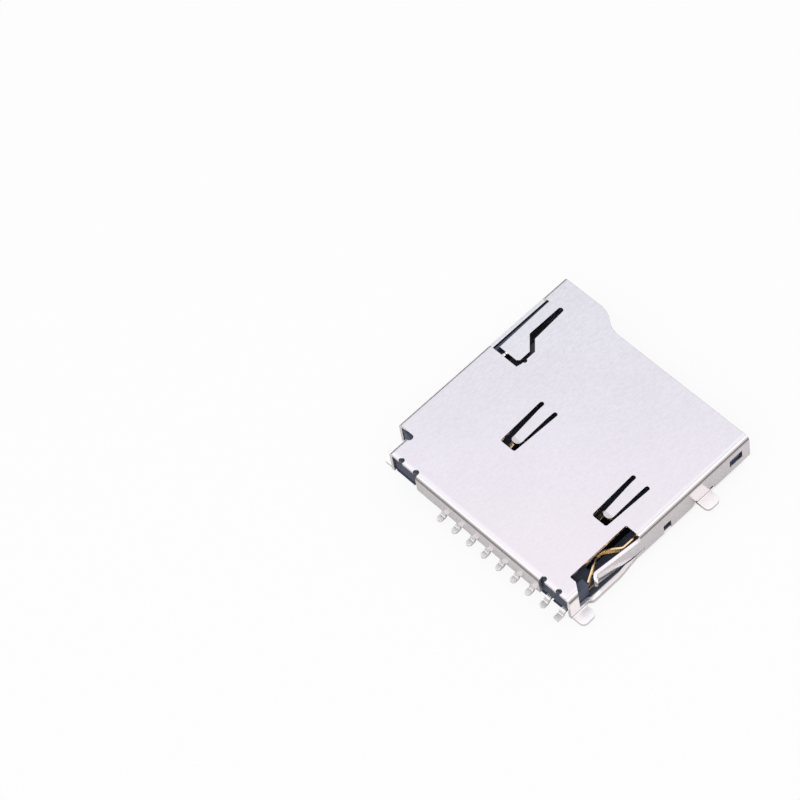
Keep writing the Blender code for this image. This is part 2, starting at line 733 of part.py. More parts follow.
def make_base(parts, tools, plastic):
    """The moulded base: floor, walls, pegs, contact slots, slider lane and spring channel."""
    half = BASE_HALF
    ledge = half + LEDGE_OUT
    step = BASE_STEP_HALF
    main = FRONT + FRONT_SETBACK
    lip = LIP + FRONT_SETBACK
    lane_front = BOSS_FRONT - CLEAR
    lane_rear = SLIDER_REAR + TRAVEL + CLEAR
    arm_rear = ARM_FRONT + ARM_THICK + TRAVEL + ARM_GAP
    nose = SPRING_X - SPRING_WINDOW_WIDTH / 2
    base = plate("base_housing", base_outline(half, half), 0, FLOOR, parts)
    walls_outline = [
        (CARD_RIGHT, lip + MOUTH_CHAMFER),
        (CARD_RIGHT + MOUTH_CHAMFER, lip),
        (half, lip),
        (half, STEP_Y - CLEAR),
        (step, STEP_Y + STEP_RELIEF / 2),
        (step, BASE_REAR),
        (-half, BASE_REAR),
        (-half, CARD_STOP),
        (CARD_NOSE, CARD_STOP),
        (CARD_NOSE, arm_rear),
        (nose, arm_rear),
        (nose, CARD_STOP),
        (GUIDE_RIGHT, CARD_STOP),
        (GUIDE_RIGHT, lane_rear),
        (LANE_RIGHT, lane_rear),
        (LANE_RIGHT, PIVOT_BLOCK_REAR),
        (PIVOT_BLOCK_LEFT, PIVOT_BLOCK_REAR),
        (PIVOT_BLOCK_LEFT, lane_front),
        (GUIDE_RIGHT, lane_front),
        (GUIDE_RIGHT, ARM_FRONT - CLEAR),
        (CARD_RIGHT, ARM_FRONT - CLEAR),
    ]
    left_outline = [
        (-half, main),
        (CARD_LEFT - MOUTH_CHAMFER, main),
        (CARD_LEFT, main + MOUTH_CHAMFER),
        (CARD_LEFT, DETECT_POCKET_FRONT + CLEAR),
        (-half, DETECT_POCKET_FRONT + CLEAR),
    ]
    leaf_room = -HALF + SHEET + LEAF_INSET + 2 * CLEAR
    retainer_outline = [
        (leaf_room, SLOT_REAR + CLEAR),
        (CARD_NOSE + CLEAR, SLOT_REAR + CLEAR),
        (CARD_NOSE + CLEAR, CARD_STOP + CLEAR),
        (leaf_room, CARD_STOP + CLEAR),
    ]
    post = ((-half, CARD_LEFT - CLEAR), (POST_FRONT, CARD_STOP + CLEAR), (FLOOR - CLEAR, POST_TOP))
    stub_y = CARD_STOP - (STUB_LENGTH - CLEAR) / 2
    stub_place = (SPRING_X, stub_y, SPRING_Z)
    stub_length = STUB_LENGTH + CLEAR
    walls = [
        plate("side ledge", base_outline(ledge, half), 0, LEDGE, tools),
        plate("moulded walls", walls_outline, FLOOR - CLEAR, BASE_TOP, tools),
        plate("left wall", left_outline, FLOOR - CLEAR, BASE_TOP, tools),
        plate("retainer", retainer_outline, FLOOR - CLEAR, RETAINER_TOP, tools),
        block("detect post", *post, tools),
        drum("spring stub", stub_place, STUB_RADIUS, stub_length, tools, "Y"),
    ]
    latches = [("left", -1, FRONT_LATCH_Y), ("right", 1, FRONT_LATCH_Y), ("rear", 1, REAR_LATCH_Y)]
    for label, side, y in latches:
        reach = LATCH_LENGTH / 2 - LATCH_GAP
        xs = sorted((side * (half - SHEET), side * (half + SHEET / 2)))
        zs = (LATCH_LOW + LATCH_GAP, LATCH_HIGH - LATCH_GAP)
        walls.append(block(f"{label} latch", xs, (y - reach, y + reach), zs, tools))
    for label, x in (("left", PEG_LEFT), ("right", PEG_RIGHT)):
        place = (x, 0, (FLOOR / 2 - PEG_HEIGHT) / 2)
        length = PEG_HEIGHT + FLOOR / 2
        walls.append(drum(f"{label} peg", place, PEG_RADIUS, length, tools, chamfer=PEG_CHAMFER))
    combine(base, walls, "UNION")

    cuts = []
    below = -BEYOND
    channel = CONTACT_WIDTH + 2 * CLEAR
    low = CONTACT_LEVEL - STRIP / 2 - CLEAR
    high = CONTACT_LEVEL + STRIP / 2 + CLEAR
    for index, x in enumerate(CONTACT_XS):
        spans = ((x - SLOT_WIDTH / 2, x + SLOT_WIDTH / 2), (SLOT_FRONT, SLOT_REAR))
        cuts.append(block(f"slot {index + 1}", *spans, (below, FLOOR + BEYOND / 2), tools))
    for index, x in enumerate([DETECT_X, *CONTACT_XS]):
        front_y = SLOT_REAR - CLEAR if index else DETECT_POCKET_REAR - CLEAR
        spans = ((x - channel / 2, x + channel / 2), (front_y, REAR + BEYOND))
        cuts.append(block(f"channel {index}", *spans, (low, high), tools))
        spans = ((x - TAIL_NOTCH, x + TAIL_NOTCH), (BASE_REAR - TAIL_NOTCH, REAR + BEYOND))
        cuts.append(block(f"tail notch {index}", *spans, (below, low + CLEAR), tools))
    boss_rear = BOSS_FRONT + BOSS_LENGTH + TRAVEL + SLOT_END_GAP
    slot_half = BOSS_WIDTH / 2 + SLOT_SIDE_GAP
    slot_x = BOSS_LEFT + BOSS_WIDTH / 2
    slot = rounded([
        (slot_x - slot_half, BOSS_FRONT - CLEAR, 0),
        (slot_x + slot_half, BOSS_FRONT - CLEAR, 0),
        (slot_x + slot_half, boss_rear, slot_half - CLEAR),
        (slot_x - slot_half, boss_rear, slot_half - CLEAR),
    ])
    cuts.append(plate("slider slot", slot, below, FLOOR + BEYOND / 2, tools))
    cuts.append(block(
        "spring window",
        (SPRING_X - SPRING_WINDOW_WIDTH / 2, SPRING_X + SPRING_WINDOW_WIDTH / 2),
        (CARD_STOP - CLEAR - SPRING_WINDOW_LENGTH, CARD_STOP - CLEAR),
        (below, FLOOR + CLEAR),
        tools,
    ))
    cuts.append(block(
        "detect pocket",
        (-half + SHEET / 2, DETECT_X + CONTACT_WIDTH + CLEAR),
        (DETECT_POCKET_FRONT, DETECT_POCKET_REAR),
        (below, BASE_TOP + BEYOND),
        tools,
    ))
    cuts.append(block(
        "rim recess",
        (half - RIM_GAP, ledge + BEYOND),
        (CAM_TONGUE_ROOT, CAM_TONGUE_TIP + CAM_REAR_GAP),
        (LATCH_HIGH, BASE_TOP + BEYOND),
        tools,
    ))
    pivot = (PIVOT_X, PIVOT_Y, FLOOR)
    cuts.append(drum("pivot hole", pivot, HOLE_RADIUS, 2 * BASE_TOP + BEYOND, tools))
    cuts.append(block(
        "link room",
        (PIVOT_BLOCK_LEFT - CLEAR, LANE_RIGHT + CLEAR),
        (PIVOT_Y - HOLE_RADIUS, PIVOT_BLOCK_REAR + CLEAR),
        (SLIDER_TOP, BASE_TOP + BEYOND),
        tools,
    ))
    for label, side in (("left", -1), ("right", 1)):
        xs = sorted((side * (half - CLEAR), side * (ledge + BEYOND)))
        reach = TAB_WIDTH / 2 + TAB_RELIEF / 2
        ys = (FRONT_TAB_Y - reach, FRONT_TAB_Y + reach)
        cuts.append(block(f"{label} tab room", xs, ys, (below, LEDGE + CLEAR), tools))
    slope_front = BASE_REAR - SLOPE_LENGTH
    wedge = [
        (slope_front, below),
        (BASE_REAR + SLOPE_LENGTH, below),
        (BASE_REAR + SLOPE_LENGTH, 2 * SLOPE_RISE),
        (slope_front, 0),
    ]
    cuts.append(plate("rear slope", wedge, SLOPE_START, SLOPE_START + SLOPE_WIDTH, tools, "X"))
    combine(base, cuts, "DIFFERENCE")
    finish(base, plastic)
    return base


def make_contact(number, x, parts, tools, tinned):
    """A stamped contact: tail on the board, strip through the base, beam that rises to the card."""
    tail = FLANGE_OUT + TAIL_LENGTH
    foot = STRIP / 2
    bend = BASE_REAR + STRIP
    beam_end = SLOT_REAR - BEAM_LENGTH
    crown = CONTACT_LEVEL + CONTACT_RISE
    path = rounded([
        (tail, foot, 0),
        (bend + STRIP, foot, STRIP_RADIUS),
        (bend, CONTACT_LEVEL, STRIP_RADIUS),
        (SLOT_REAR, CONTACT_LEVEL, STRIP_RADIUS),
        (beam_end, crown, STRIP_RADIUS),
        (beam_end - TIP_LENGTH, crown - TIP_FALL, 0),
    ])
    half = CONTACT_WIDTH / 2
    contact = plate(f"contact_{number}", band(path, STRIP), x - half, x + half, parts, "X")
    tip = CONTACT_TIP_WIDTH / 2
    outline = rounded([
        (x - tip, beam_end - TIP_LENGTH - BEYOND, 0),
        (x + tip, beam_end - TIP_LENGTH - BEYOND, 0),
        (x + tip, beam_end, 0),
        (x + half + CLEAR / 3, SLOT_REAR - STRIP, 0),
        (x + half + CLEAR / 3, tail - TAIL_CORNER, 0),
        (x + half - TAIL_CORNER, tail + CLEAR / 3, 0),
        (x - half + TAIL_CORNER, tail + CLEAR / 3, 0),
        (x - half - CLEAR / 3, tail - TAIL_CORNER, 0),
        (x - half - CLEAR / 3, SLOT_REAR - STRIP, 0),
        (x - tip, beam_end, 0),
    ])
    trim = plate(f"contact trim {number}", outline, -BEYOND, COVER_TOP, tools)
    combine(contact, [trim], "INTERSECT")
    finish(contact, tinned)
    return contact


def make_detect_contact(parts, tools, gilt):
    """The switch contact: a strip in the floor, an upright root and a spring blade on edge."""
    tail = FLANGE_OUT + TAIL_LENGTH
    bend = BASE_REAR + STRIP
    foot = STRIP / 2
    path = rounded([
        (tail, foot, 0),
        (bend + STRIP, foot, STRIP_RADIUS),
        (bend, CONTACT_LEVEL, STRIP_RADIUS),
        (DETECT_ROOT - STRIP, CONTACT_LEVEL, 0),
    ])
    half = CONTACT_WIDTH / 2
    spans = (DETECT_X - half, DETECT_X + half)
    contact = plate("detect_contact", band(path, STRIP), *spans, parts, "X")
    outer = DETECT_X - half + DETECT_STRIP / 2
    upright = block(
        "detect root",
        (DETECT_X - half, DETECT_X - half + DETECT_STRIP),
        (DETECT_ROOT - STRIP, DETECT_POCKET_REAR - CLEAR),
        (CONTACT_LEVEL - STRIP / 2, DETECT_HIGH),
        tools,
    )
    inner = outer + DETECT_BULGE
    blade = rounded([
        (outer, DETECT_ROOT, 0),
        (outer, DETECT_ROOT + BLADE_SLOPE_START, BLADE_RADIUS),
        (outer + DETECT_BULGE / 2, DETECT_ROOT + BLADE_SLOPE_MID, BLADE_RADIUS),
        (inner, DETECT_ROOT + BLADE_CREST_START, BLADE_RADIUS),
        (inner, DETECT_ROOT + BLADE_CREST_END, BLADE_RADIUS),
        (outer - DETECT_END_OUT, DETECT_ROOT + DETECT_LENGTH, 0),
    ])
    strip = plate("detect blade", band(blade, DETECT_STRIP), DETECT_LOW, DETECT_HIGH, tools)
    combine(contact, [upright, strip], "UNION")
    finish(contact, gilt)
    return contact


def lane(name, points, depth, group):
    """A round-ended groove tool through points in plan, cut down from the slider's top."""
    width = LINK_WIRE + 4 * CLEAR
    tools = []
    for index, (a, b) in enumerate(zip(points, points[1:])):
        start, end = Vector(a), Vector(b)
        outline = band([start, end], width)
        span = (SLIDER_TOP - depth, SLIDER_TOP + BEYOND)
        tools.append(plate(f"{name} {index}", outline, *span, group))
        for label, spot in (("start", start), ("end", end)):
            place = (spot.x, spot.y, sum(span) / 2)
            tools.append(drum(f"{name} {index} {label}", place, width / 2, span[1] - span[0], group))
    return tools


def pin_place(stroke):
    """Where the link's pin stands on the slider, in the slider's rest place, after a stroke."""
    lean = math.radians(LINK_LEAN + LINK_SWING * stroke / TRAVEL)
    x = PIVOT_X - LINK_LENGTH * math.sin(lean)
    y = PIVOT_Y + LINK_LENGTH * math.cos(lean)
    return x, y - stroke


def make_slider(parts, tools, plastic):
    """The slider: rail with its heart cam, boss in the floor slot, and the arm that the card pushes."""
    shoulder = PIVOT_BLOCK_REAR + 2 * CLEAR
    narrow = PIVOT_BLOCK_LEFT - 2 * CLEAR
    outline = rounded([
        (SLIDER_LEFT, SLIDER_FRONT, 0),
        (narrow, SLIDER_FRONT, 0),
        (narrow, shoulder, 0),
        (SLIDER_RIGHT, shoulder, 0),
        (SLIDER_RIGHT, SLIDER_REAR, FOLD_RADIUS),
        (SLIDER_LEFT, SLIDER_REAR, FOLD_RADIUS),
    ])
    slider = plate("slider", outline, SLIDER_LOW, SLIDER_TOP, parts)
    boss = block(
        "slider boss",
        (BOSS_LEFT, BOSS_LEFT + BOSS_WIDTH),
        (BOSS_FRONT, BOSS_FRONT + BOSS_LENGTH),
        (BOSS_LIFT, SLIDER_LOW + CLEAR),
        tools,
    )
    rear = BOSS_FRONT + BOSS_LENGTH
    round_corners(boss, BOSS_CORNER, lambda spot: abs(spot.y - rear) < WELD)
    arm_left = SPRING_X - SPRING_WINDOW_WIDTH / 2 + CLEAR
    arm = block(
        "slider arm",
        (arm_left, SLIDER_LEFT + CLEAR),
        (ARM_FRONT, ARM_FRONT + ARM_THICK),
        (SLIDER_LOW, BASE_TOP - CLEAR),
        tools,
    )
    stub_y = ARM_FRONT + ARM_THICK + (STUB_LENGTH - CLEAR) / 2
    stub = drum("arm stub", (SPRING_X, stub_y, SPRING_Z), STUB_RADIUS, STUB_LENGTH + CLEAR, tools, "Y")
    combine(slider, [boss, arm, stub], "UNION")
    start = pin_place(0)
    end = pin_place(TRAVEL)
    lock = pin_place(CAM_LOCK_STROKE)
    side = start[0] + CLEAR
    cuts = lane("cam way in", [start, end], CAM_DEPTH, tools)
    cuts += lane(
        "cam way out",
        [end, (lock[0] + HEART_WIDTH, lock[1]), (side, lock[1] + 2 * HEART_WIDTH), start],
        CAM_DEPTH,
        tools,
    )
    combine(slider, cuts, "DIFFERENCE")
    finish(slider, plastic)
    set_origin(slider, (BOSS_LEFT + BOSS_WIDTH / 2, (BOSS_FRONT + rear) / 2, 0))
    return slider


def make_spring(parts, steel):
    """The coil spring between the slider's arm and the rear wall, with close end turns."""
    radius = (SPRING_OUTER - SPRING_WIRE) / 2
    closed = SPRING_END_TURNS
    turns = SPRING_TURNS + 2 * closed
    wire_gap = SPRING_WIRE + CLEAR
    span = SPRING_REAR - SPRING_FRONT - SPRING_WIRE
    pitch = (span - 2 * closed * wire_gap) / SPRING_TURNS
    points = []
    for step in range(round(turns * SPRING_POINTS) + 1):
        turn = step / SPRING_POINTS
        along = min(turn, closed) * wire_gap
        along += min(max(turn - closed, 0), SPRING_TURNS) * pitch
        along += max(turn - closed - SPRING_TURNS, 0) * wire_gap
        angle = 2 * math.pi * turn
        x = SPRING_X + radius * math.cos(angle)
        z = SPRING_Z + radius * math.sin(angle)
        points.append((x, SPRING_FRONT + SPRING_WIRE / 2 + along, z))
    spring = wire("coil_spring", points, SPRING_WIRE, parts)
    finish(spring, steel)
    set_origin(spring, (SPRING_X, SPRING_REAR, SPRING_Z))
    return spring


def make_link(parts, steel):
    """The cam link: a wire with one end down in the base and its pin in the slider's cam."""
    x, y = pin_place(0)
    side = Vector((x - PIVOT_X, y - PIVOT_Y)).normalized()
    flat = rounded([
        (0, LINK_FOOT, 0),
        (0, LINK_LEVEL, LINK_BEND),
        (LINK_LENGTH, LINK_LEVEL, LINK_BEND),
        (LINK_LENGTH, SLIDER_TOP - PIN_DEPTH, 0),
    ])
    points = [(PIVOT_X + side.x * u, PIVOT_Y + side.y * u, v) for u, v in flat]
    link = wire("cam_link", points, LINK_WIRE, parts)
    finish(link, steel)
    set_origin(link, (PIVOT_X, PIVOT_Y, 0))
    return link


def main():
    """Build every part of the socket."""
    clear_scene()
    parts = new_group("memory_card_socket")
    tools = new_group("tools")
    nickel = new_material("nickel plated steel", (0.72, 0.70, 0.71), 0.32, 1.0)
    black = new_material("black moulded base", (0.045, 0.052, 0.068), 0.55, 0.0)
    grey = new_material("black moulded slider", (0.055, 0.060, 0.075), 0.5, 0.0)
    tinned = new_material("tinned contact", (0.80, 0.78, 0.75), 0.28, 1.0)
    gilt = new_material("gold plated contact", (0.83, 0.62, 0.30), 0.25, 1.0)
    bright = new_material("bright spring wire", (0.75, 0.75, 0.76), 0.22, 1.0)
    make_base(parts, tools, black)
    make_cover(parts, tools, nickel)
    for index, x in enumerate(CONTACT_XS):
        make_contact(index + 1, x, parts, tools, tinned)
    make_detect_contact(parts, tools, gilt)
    make_slider(parts, tools, grey)
    make_spring(parts, bright)
    make_link(parts, bright)


main()
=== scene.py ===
# Dressed model of a push-push socket for a small memory card: finishes, soft studio light, the photo's view
import json
import math
import bmesh
import bpy
from mathutils import Matrix, Vector

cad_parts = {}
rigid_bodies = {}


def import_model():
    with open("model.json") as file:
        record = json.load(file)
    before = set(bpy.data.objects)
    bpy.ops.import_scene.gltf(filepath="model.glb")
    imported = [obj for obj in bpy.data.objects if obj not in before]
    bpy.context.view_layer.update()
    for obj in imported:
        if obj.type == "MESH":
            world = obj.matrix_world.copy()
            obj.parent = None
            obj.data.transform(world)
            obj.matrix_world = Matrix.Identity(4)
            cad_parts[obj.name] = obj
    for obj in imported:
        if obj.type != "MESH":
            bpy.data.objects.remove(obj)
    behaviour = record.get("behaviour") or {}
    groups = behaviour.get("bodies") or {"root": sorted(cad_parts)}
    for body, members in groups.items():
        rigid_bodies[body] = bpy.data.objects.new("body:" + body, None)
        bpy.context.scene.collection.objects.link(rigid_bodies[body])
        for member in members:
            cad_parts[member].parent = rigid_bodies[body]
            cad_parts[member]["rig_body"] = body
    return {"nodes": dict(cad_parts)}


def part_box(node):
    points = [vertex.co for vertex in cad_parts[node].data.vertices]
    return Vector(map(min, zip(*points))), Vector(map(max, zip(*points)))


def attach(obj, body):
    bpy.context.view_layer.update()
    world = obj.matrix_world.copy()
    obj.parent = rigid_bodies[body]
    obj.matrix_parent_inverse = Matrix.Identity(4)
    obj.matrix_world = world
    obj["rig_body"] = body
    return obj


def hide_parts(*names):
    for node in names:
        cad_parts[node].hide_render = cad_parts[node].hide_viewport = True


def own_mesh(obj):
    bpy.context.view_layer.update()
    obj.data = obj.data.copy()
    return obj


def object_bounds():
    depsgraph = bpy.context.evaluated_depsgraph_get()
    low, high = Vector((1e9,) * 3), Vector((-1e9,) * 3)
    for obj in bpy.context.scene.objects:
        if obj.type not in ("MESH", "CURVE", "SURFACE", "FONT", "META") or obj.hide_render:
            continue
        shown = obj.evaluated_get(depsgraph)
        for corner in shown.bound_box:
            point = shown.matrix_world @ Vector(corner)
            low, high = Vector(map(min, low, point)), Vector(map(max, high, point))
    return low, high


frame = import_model()
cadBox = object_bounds()
mm = 0.001
nodes = frame["nodes"]
print("frame loaded,", len(nodes), "nodes")


def hexColour(text):  # sRGB hex to linear RGBA
    channels = [int(text[i:i + 2], 16) / 255 for i in (1, 3, 5)]
    linear = [c / 12.92 if c <= 0.04045 else ((c + 0.055) / 1.055) ** 2.4 for c in channels]
    return (*linear, 1.0)


def addNode(tree, kind, inputs=(), **settings):  # a node with its properties, then its sockets set or linked
    made = tree.nodes.new(kind)
    for key, value in settings.items():
        setattr(made, key, value)
    for key, value in dict(inputs).items():
        if isinstance(value, bpy.types.NodeSocket):
            tree.links.new(value, made.inputs[key])
        else:
            made.inputs[key].default_value = value
    return made


def calculate(tree, operation, first, second=0.0):
    return addNode(tree, "ShaderNodeMath", {0: first, 1: second}, operation=operation).outputs[0]


def times(tree, first, second):
    return calculate(tree, "MULTIPLY", first, second)


def newMaterial(name):
    material = bpy.data.materials.new(name)
    material.use_nodes = True
    tree = material.node_tree
    return material, tree, tree.nodes["Principled BSDF"]


def coordinate(tree, kind="Object"):
    return addNode(tree, "ShaderNodeTexCoord").outputs[kind]


def axesOf(tree, vector):  # the X, Y and Z sockets of a vector
    return addNode(tree, "ShaderNodeSeparateXYZ", {0: vector}).outputs


def pattern(tree, place, size, detail=2.0):  # noise whose features have the given x, y, z size in millimetres
    scale = tuple(1 / (value * mm) for value in size)
    mapped = addNode(tree, "ShaderNodeMapping", {"Vector": place, "Scale": scale})
    inputs = {"Vector": mapped.outputs[0], "Scale": 1.0, "Detail": detail}
    return addNode(tree, "ShaderNodeTexNoise", inputs).outputs["Fac"]


def spread(tree, value, source, target=(0.0, 1.0)):  # maps one range onto another, and holds at its ends
    (low, high), (toLow, toHigh) = source, target
    inputs = {"Value": value, "From Min": low, "From Max": high, "To Min": toLow, "To Max": toHigh}
    return addNode(tree, "ShaderNodeMapRange", inputs).outputs["Result"]


def spreadPlace(tree, value, source, target=(0.0, 1.0)):  # the same for a place, its range in millimetres
    return spread(tree, value, [end * mm for end in source], target)


def blendColours(tree, factor, first, second):  # first and second are hex colours or sockets
    ends = [hexColour(end) if isinstance(end, str) else end for end in (first, second)]
    inputs = {0: factor, 6: ends[0], 7: ends[1]}
    return addNode(tree, "ShaderNodeMix", inputs, data_type="RGBA").outputs[2]


def link(tree, shader, **outputs):
    for name, value in outputs.items():
        tree.links.new(value, shader.inputs[name.replace("_", " ")])


def softBump(tree, height, use):  # a fine relief over edges that are rounded in the light
    rounded = addNode(tree, "ShaderNodeBevel", {"Radius": use["edge"] * mm}, samples=6).outputs[0]
    depth = use["bump"] * mm
    inputs = {"Height": height, "Strength": use["bumpStrength"], "Distance": depth, "Normal": rounded}
    return addNode(tree, "ShaderNodeBump", inputs).outputs[0]


# Where a noise has nearly all its values, for roughness, and the narrower part that makes a livelier colour
noiseRange = (0.3, 0.7)
noiseCore = (0.35, 0.65)

# Nickel plated stainless strip, rolled and stamped: pale grey and smooth enough for the walls to mirror the
# table, with a faint grain along the strip. Painted light makes the top lighter and pinker towards the rear
# left corner, and the walls carry a warmer painted reflection tone. A white painted highlight runs along the
# crest of the left, rear and right folds, and a dark line of painted shade on the side below it, darkest at
# the inner bend above the feet. The feet are paler and more matt, since they were dipped in tin for
# soldering.
# A slope of 1 is a level face, 0 a wall. Lengths and places are in mm
coverFinish = {
    # the wall colour is a painted reflection tone, given to faces that stand upright
    "sheet": "#d1d2d6", "sheetDim": "#bebfc2", "sheetTone": (0.35, 0.95), "wall": "#dad4d5",
    # painted light: the sheet turns lighter and pinker towards the rear left corner
    "cornerLight": "#dfd8db", "cornerLightFromTo": (-10.0, 26.0),
    # a white painted highlight along the crest of the folds at the left and rear, and on the right side
    "crestHighlight": "#ffffff", "crestHighlightShare": 0.3, "crestHighlightSlope": (0.7, 0.8), "crestHighlightX": (-6.75, -6.95),
    "crestHighlightY": (9.98, 10.2), "rightHighlightShare": 0.6, "rightHighlightSlope": (0.4, 0.55), "rightHighlightFacing": (0.2, 0.4),
    # a dark line of painted shade on the side of each fold, darkest at the inner bend above the feet
    "foldShade": "#8b8583", "foldShadeLow": "#3f3936", "foldStart": (0.1, 0.3), "foldEnd": (0.62, 0.8),
    "foldShadeFacing": (0.0, 0.5), "foldShadeShare": (1.0, 0.1),
    "foot": "#fcf8f9", "footHeight": (0.3, 0.5), "footMatt": 0.25,
    "grain": (0.1, 0.24, 0.1), "grainDetail": 3.0, "cloud": 3.0, "cloudShare": 0.3,
    "roughness": (0.17, 0.24), "bump": 0.0008, "bumpStrength": 0.25, "edge": 0.03,
}


def nickelPlatedSteel():
    use = coverFinish
    material, tree, shader = newMaterial("nickel plated stainless sheet")
    place = coordinate(tree)
    spot = axesOf(tree, place)
    facing = axesOf(tree, coordinate(tree, "Normal"))
    slope = calculate(tree, "ABSOLUTE", facing["Z"])
    offWall = spread(tree, slope, use["foldStart"])
    onFlat = spread(tree, slope, use["foldEnd"])
    low = spreadPlace(tree, spot["Z"], use["footHeight"], (1.0, 0.0))
    tinned = times(tree, low, onFlat)

    grain = pattern(tree, place, use["grain"], use["grainDetail"])
    cloud = times(tree, pattern(tree, place, (use["cloud"],) * 3), use["cloudShare"])
    tone = spread(tree, calculate(tree, "ADD", grain, cloud), use["sheetTone"])
    sheet = blendColours(tree, tone, use["sheetDim"], use["sheet"])
    # painted light: a gradient that lightens the sheet towards the rear left corner
    toCorner = calculate(tree, "SUBTRACT", spot["Y"], spot["X"])
    sheet = blendColours(tree, spreadPlace(tree, toCorner, use["cornerLightFromTo"]), sheet, use["cornerLight"])
    # painted reflection: the upright walls are tinted warmer than the top
    sheet = blendColours(tree, offWall, use["wall"], sheet)

    # painted highlight: the crest of each fold is painted white, by slope and place
    beside = [spreadPlace(tree, spot[axis], use["crestHighlight" + axis], (0.0, use["crestHighlightShare"])) for axis in "XY"]
    crestHighlight = times(tree, calculate(tree, "MAXIMUM", *beside), spread(tree, slope, use["crestHighlightSlope"]))
    rightHighlightMask = spread(tree, facing["X"], use["rightHighlightFacing"], (0.0, use["rightHighlightShare"]))
    crestHighlightRight = times(tree, rightHighlightMask, spread(tree, slope, use["rightHighlightSlope"]))
    sheet = blendColours(tree, calculate(tree, "MAXIMUM", crestHighlight, crestHighlightRight), sheet, use["crestHighlight"])
    sheet = blendColours(tree, tinned, sheet, use["foot"])

    # painted shade: a dark line on the side of each fold, darker near the feet, weaker on folds facing right
    foldShadeMask = calculate(tree, "SUBTRACT", offWall, onFlat)
    foldShadeMask = times(tree, foldShadeMask, spread(tree, facing["X"], use["foldShadeFacing"], use["foldShadeShare"]))
    colour = blendColours(tree, foldShadeMask, sheet, blendColours(tree, low, use["foldShade"], use["foldShadeLow"]))
    shine = spread(tree, grain, noiseRange, use["roughness"])
    shine = calculate(tree, "ADD", shine, times(tree, tinned, use["footMatt"]))
    link(tree, shader, Base_Color=colour, Roughness=shine, Normal=softBump(tree, grain, use))
    shader.inputs["Metallic"].default_value = 1.0
    return material


# Black glass-filled LCP, injection moulded: matt blue-black with a fine speckle of fibre
baseFinish = {
    "name": "glass filled LCP moulding", "body": "#444a5a", "speck": "#535a6b", "tone": (0.75, 1.35),
    "speckSize": 0.07, "speckDetail": 3.0, "cloud": 1.6, "roughness": (0.49, 0.63), "gloss": 0.2,
    "bump": 0.004, "bumpStrength": 0.4, "edge": 0.03,
}

# Plain black POM slider: darker and a little glossier than the base
sliderFinish = {
    "name": "black POM moulding", "body": "#2b2e37", "speck": "#383c47", "tone": (0.75, 1.35),
    "speckSize": 0.12, "speckDetail": 3.0, "cloud": 1.2, "roughness": (0.32, 0.46), "gloss": 0.4,
    "bump": 0.002, "bumpStrength": 0.4, "edge": 0.03,
}


def mouldedPlastic(use):
    material, tree, shader = newMaterial(use["name"])
    place = coordinate(tree)
    speck = pattern(tree, place, (use["speckSize"],) * 3, use["speckDetail"])
    cloud = pattern(tree, place, (use["cloud"],) * 3)
    tone = spread(tree, calculate(tree, "ADD", speck, cloud), use["tone"])
    colour = blendColours(tree, tone, use["body"], use["speck"])
    shine = spread(tree, speck, noiseRange, use["roughness"])
    link(tree, shader, Base_Color=colour, Roughness=shine, Normal=softBump(tree, speck, use))
    shader.inputs["Metallic"].default_value = 0.0
    shader.inputs["Specular IOR Level"].default_value = use["gloss"]
    return material


# Phosphor bronze strip with fine lines along it: gold plated and bright inside the socket, where it touches,
# and tin plated and more matt from goldEnd outwards, a place on Y in mm
stripFinish = {
    "gold": "#f5e0b6", "goldDim": "#e2c38d", "tin": "#f0efef", "tinDim": "#e2e0e0", "seam": 0.05,
    "lines": (0.05, 0.5, 0.05), "roughness": (0.17, 0.3), "tinMatt": 0.2,
    "bump": 0.001, "bumpStrength": 0.2, "edge": 0.02,
}
goldEnds = {"contact": 6.2, "detect_contact": 9.6}


def platedStrip(goldEnd):
    use = stripFinish
    material, tree, shader = newMaterial("gold and tin plated bronze strip")
    place = coordinate(tree)
    lines = pattern(tree, place, use["lines"])
    tone = spread(tree, lines, noiseCore)
    tinned = spreadPlace(tree, axesOf(tree, place)["Y"], (goldEnd - use["seam"], goldEnd + use["seam"]))
    gold = blendColours(tree, tone, use["goldDim"], use["gold"])
    tin = blendColours(tree, tone, use["tinDim"], use["tin"])
    colour = blendColours(tree, tinned, gold, tin)
    shine = spread(tree, lines, noiseRange, use["roughness"])
    shine = calculate(tree, "ADD", shine, times(tree, tinned, use["tinMatt"]))
    link(tree, shader, Base_Color=colour, Roughness=shine, Normal=softBump(tree, lines, use))
    shader.inputs["Metallic"].default_value = 1.0
    return material


# Drawn spring steel: bright wire with a fine mottle
wireFinish = {"light": "#dcdcdf", "dim": "#c2c2c7", "mottle": 0.04, "roughness": (0.15, 0.28)}


def springWire():
    use = wireFinish
    material, tree, shader = newMaterial("drawn spring steel wire")
    mottle = pattern(tree, coordinate(tree), (use["mottle"],) * 3)
    colour = blendColours(tree, spread(tree, mottle, noiseCore), use["dim"], use["light"])
    link(tree, shader, Base_Color=colour, Roughness=spread(tree, mottle, noiseRange, use["roughness"]))
    shader.inputs["Metallic"].default_value = 1.0
    return material


def wear(name, material):  # gives a node its finish
    slots = nodes[name].data.materials
    slots.clear()
    slots.append(material)


wire = springWire()
contactStrip = platedStrip(goldEnds["contact"])
wear("shell_cover", nickelPlatedSteel())
wear("base_housing", mouldedPlastic(baseFinish))
wear("slider", mouldedPlastic(sliderFinish))
wear("detect_contact", platedStrip(goldEnds["detect_contact"]))
wear("cam_link", wire)
for name in nodes:
    if name.startswith("contact_"):
        wear(name, contactStrip)
print("finishes made")


# The return spring, a rounder wire on the solid one's coil, which it replaces. Its rear end rests on the
# housing. Wire and pitch are in mm
springUse = {"coils": 17, "endTurns": 2, "wire": 0.16, "endPitch": 0.19, "turnSteps": 36, "wireSides": 12}


